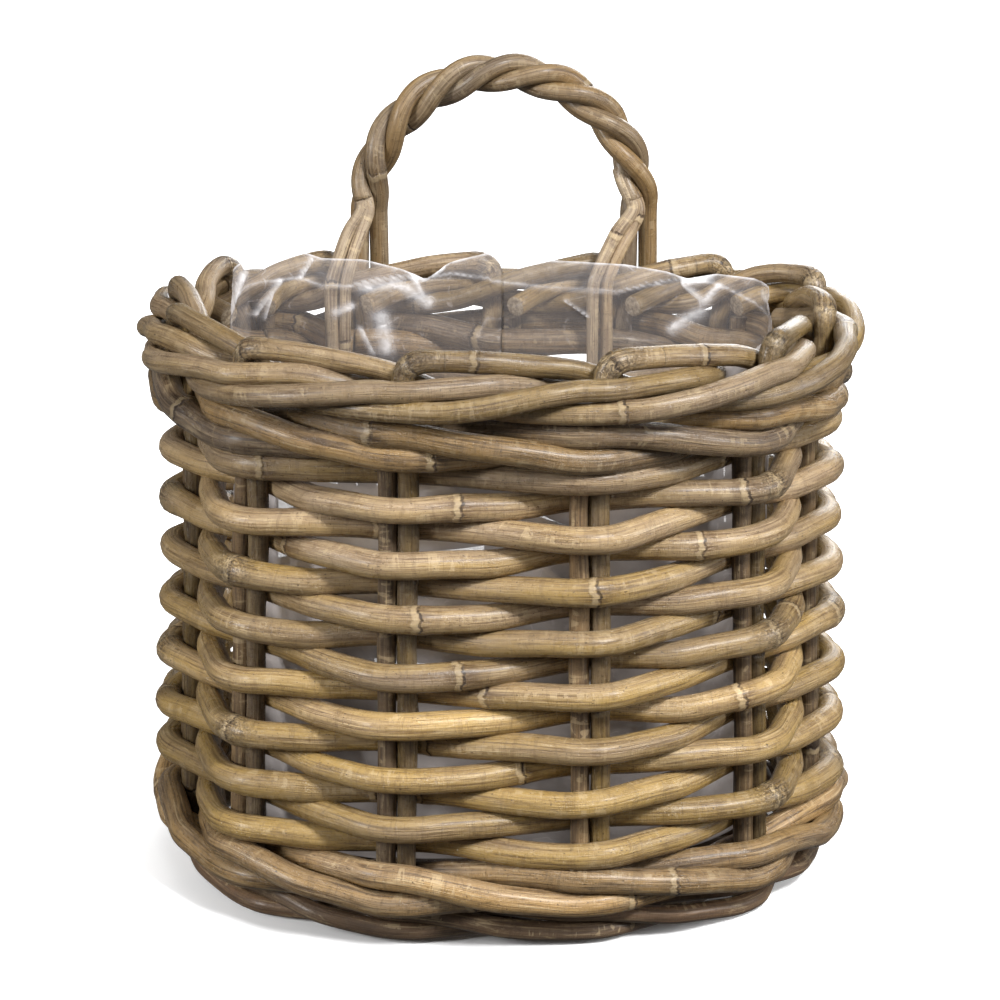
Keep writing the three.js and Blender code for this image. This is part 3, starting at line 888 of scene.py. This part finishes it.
def crease_at(across, up):
    """How strongly each point of the back wall lies on one of the creases, from 0 to 1."""
    strongest = np.zeros_like(across)
    for x0, z0, x1, z1, width in CREASES:
        run = np.array([x1 - x0, z1 - z0])
        share = ((across - x0) * run[0] + (up - z0) * run[1]) / np.dot(run, run)
        share = np.clip(share, 0, 1)
        apart = np.hypot(across - x0 - run[0] * share, up - z0 - run[1] * share)
        strongest = np.maximum(strongest, np.exp(-((apart / width) ** 2)))
    return strongest


def add_liner():
    steps = np.linspace(0, PAIRS, LINER_ACROSS, endpoint=False)
    outline = np.array([place(step, 0, -LINER_INSET, 0, spread_at(199)) for step in steps])
    outline[:, 1] = np.minimum(outline[:, 1], LINER_BACK)
    middle = np.array([0, outline[:, 1].mean()])
    inward = middle - outline[:, :2]
    inward /= np.linalg.norm(inward, axis=1)[:, None]
    reach = np.concatenate([[0], np.cumsum(np.linalg.norm(np.diff(outline, axis=0), axis=1))])
    behind = np.clip((outline[:, 1] - 18) / 30, 0, 1)
    across = outline[:, 0]
    edge = np.interp(across, [x for x, _ in BACK_EDGE], [z for _, z in BACK_EDGE])
    top = FRONT_TOP + (edge - FRONT_TOP) * behind
    to_pinch = np.min([np.abs(across - pinch) for pinch in PINCHES], axis=0)
    hem_depth = HEM * np.clip(to_pinch / 32, 0.08, 1)
    gather = np.exp(-((to_pinch / 9) ** 2)) * behind
    vertices, straight, haze_and_highlight, front_veil_and_glow = [], [], [], []
    for k in range(LINER_UP + 1):
        share = k / LINER_UP
        z = LINER_FLOOR + (top - LINER_FLOOR) * share
        fold = ridged(reach, z, rng=random.Random("folds"), length=46)
        small = ridged(reach, z, rng=random.Random("small folds"), length=17)
        crease = crease_at(across, z) * behind
        calm = 1 - 0.8 * behind
        depth = (4.2 * fold**2 + 1.2 * small**2) * min(1, share * 8) * calm
        depth += 1.4 * crease + 2.2 * gather * share**12
        flat = outline[:, :2] + inward * depth[:, None]
        vertices.append(np.column_stack([flat, z]))
        straight.append(np.column_stack([reach, z, np.zeros_like(reach)]))
        # painted highlights: bright lines along the hem fold and the top edge; doubled is the real haze of
        # the doubled hem
        hem = 0.5 * np.exp(-((((top - z) - hem_depth) / 0.7) ** 2))
        hem += 0.8 * np.exp(-((top - z) / 0.8) ** 2)
        doubled = 0.12 * (top - z < hem_depth)
        haze_and_highlight.append((hem + doubled) * behind + 0.7 * crease + 0.12 * gather * share**20)
        # front_veil_and_glow: extra opacity and painted glow on the film's front and sides, half of it on the
        # film's floor
        front_veil_and_glow.append(1 - behind)
    vertices = np.concatenate(vertices)
    straight = np.concatenate(straight)
    haze_and_highlight = np.concatenate(haze_and_highlight)
    front_veil_and_glow = np.concatenate(front_veil_and_glow)
    faces = []
    for k in range(LINER_UP):
        for i in range(LINER_ACROSS):
            j = (i + 1) % LINER_ACROSS
            low, high = k * LINER_ACROSS, (k + 1) * LINER_ACROSS
            faces.append((low + i, high + i, high + j, low + j))
    inner = list(range(LINER_ACROSS))
    for share in (0.75, 0.5, 0.25):
        start = len(vertices)
        level = np.full(LINER_ACROSS, float(LINER_FLOOR))
        ring = np.column_stack([middle + (outline[:, :2] - middle) * share, level])
        ring[:, 2] += 1.5 * ridged(ring[:, 0], ring[:, 1], random.Random("floor folds"), 30)
        vertices = np.concatenate([vertices, ring])
        straight = np.concatenate([straight, ring])
        haze_and_highlight = np.concatenate([haze_and_highlight, np.zeros(LINER_ACROSS)])
        front_veil_and_glow = np.concatenate([front_veil_and_glow, np.full(LINER_ACROSS, 0.5)])
        outer, inner = inner, list(range(start, start + LINER_ACROSS))
        for i in range(LINER_ACROSS):
            j = (i + 1) % LINER_ACROSS
            faces.append((inner[i], outer[i], outer[j], inner[j]))
    faces.append(tuple(reversed(inner)))
    piece = add_mesh(
        "film_liner_sheet",
        vertices * MM,
        faces,
        [FILM],
        floats={"haze_and_highlight": haze_and_highlight, "front_veil_and_glow": front_veil_and_glow},
        vectors={"straight": straight},
    )
    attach(piece, "root")
    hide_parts("film_liner")


add_liner()

# ---- Floor, light and camera ----

SWEEP_FLAT = 1.6
SWEEP_BEND = 1.4
SWEEP_TOP = 3.0
SWEEP_SIDES = 96


def add_sweep():
    """The studio floor, curving up into a round backdrop that glows white; it lights nothing but itself."""
    s = Shader("studio_sweep")
    where = s.node("ShaderNodeTexCoord", {}).outputs["Object"]
    grain = s.noise(where, 30.0, 3.0)
    paper = s.mix(grain, colour(0.93, 0.93, 0.93), colour(0.95, 0.95, 0.95))
    flat = s.stretched(where, (1.0, 1.0, 0.0))
    reach = s.node("ShaderNodeVectorMath", {0: flat}, operation="LENGTH").outputs["Value"]
    material = s.finish({
        "Base Color": paper,
        "Roughness": 0.9,
        "Specular IOR Level": 0.1,
        "Emission Color": paper,
        "Emission Strength": s.between(reach, 0.08, 0.23, 0.0, 1.0),
    })
    profile = [(SWEEP_FLAT * share, 0) for share in (0.02, 0.25, 0.5, 0.75)]
    for i in range(13):
        angle = math.pi / 2 * i / 12
        profile.append((SWEEP_FLAT + SWEEP_BEND * math.sin(angle), SWEEP_BEND * (1 - math.cos(angle))))
    profile.append((SWEEP_FLAT + SWEEP_BEND, SWEEP_TOP))
    turns = [2 * math.pi * i / SWEEP_SIDES for i in range(SWEEP_SIDES)]
    vertices = [(r * math.cos(turn), r * math.sin(turn), z) for r, z in profile for turn in turns]
    faces = [tuple(range(SWEEP_SIDES))]
    for k in range(len(profile) - 1):
        for i in range(SWEEP_SIDES):
            j = (i + 1) % SWEEP_SIDES
            low, high = k * SWEEP_SIDES, (k + 1) * SWEEP_SIDES
            faces.append((low + i, high + i, high + j, low + j))
    sweep = add_mesh("studio_sweep", vertices, faces, [material])
    sweep.visible_diffuse = False
    sweep.visible_glossy = False


def add_light(name, place_m, aim_m, size, power):
    light = bpy.data.lights.new(name, "AREA")
    light.shape = "RECTANGLE"
    light.size, light.size_y = size
    light.energy = power
    lamp = bpy.data.objects.new(name, light)
    lamp.location = place_m
    lamp.rotation_euler = (Vector(aim_m) - Vector(place_m)).to_track_quat("-Z", "Y").to_euler()
    bpy.context.scene.collection.objects.link(lamp)


add_sweep()
add_light("key_softbox", (0.8, -1.1, 1.5), (0, -0.03, 0.12), (0.38, 0.38), 48)
add_light("overhead_softbox", (-0.1, -0.4, 2.0), (0, 0, 0.1), (0.9, 0.6), 6)
add_light("left_softbox", (-1.6, -1.0, 0.9), (0, 0, 0.15), (0.35, 0.6), 31)
add_light("right_softbox", (1.8, -0.5, 0.7), (0, 0, 0.15), (0.35, 0.6), 20)
add_light("back_softbox", (0.5, 1.7, 0.7), (0, 0.1, 0.15), (0.7, 0.7), 12)

world = bpy.data.worlds.new("studio")
bpy.context.scene.world = world
world.use_nodes = True
world.node_tree.nodes["Background"].inputs["Color"].default_value = colour(1.0, 1.0, 1.0)
world.node_tree.nodes["Background"].inputs["Strength"].default_value = 0.14

bpy.context.scene.view_settings.view_transform = "Standard"

camera = bpy.data.objects.new("camera", bpy.data.cameras.new("camera"))
bpy.context.scene.collection.objects.link(camera)
camera.location = (0.011, -1.25, 0.552)
aim = Vector((0, 0, 0.1645))
camera.rotation_euler = (aim - camera.location).to_track_quat("-Z", "Y").to_euler()
camera.data.sensor_width = 36
camera.data.lens = 111.5
camera.data.clip_end = 50
bpy.context.scene.camera = camera
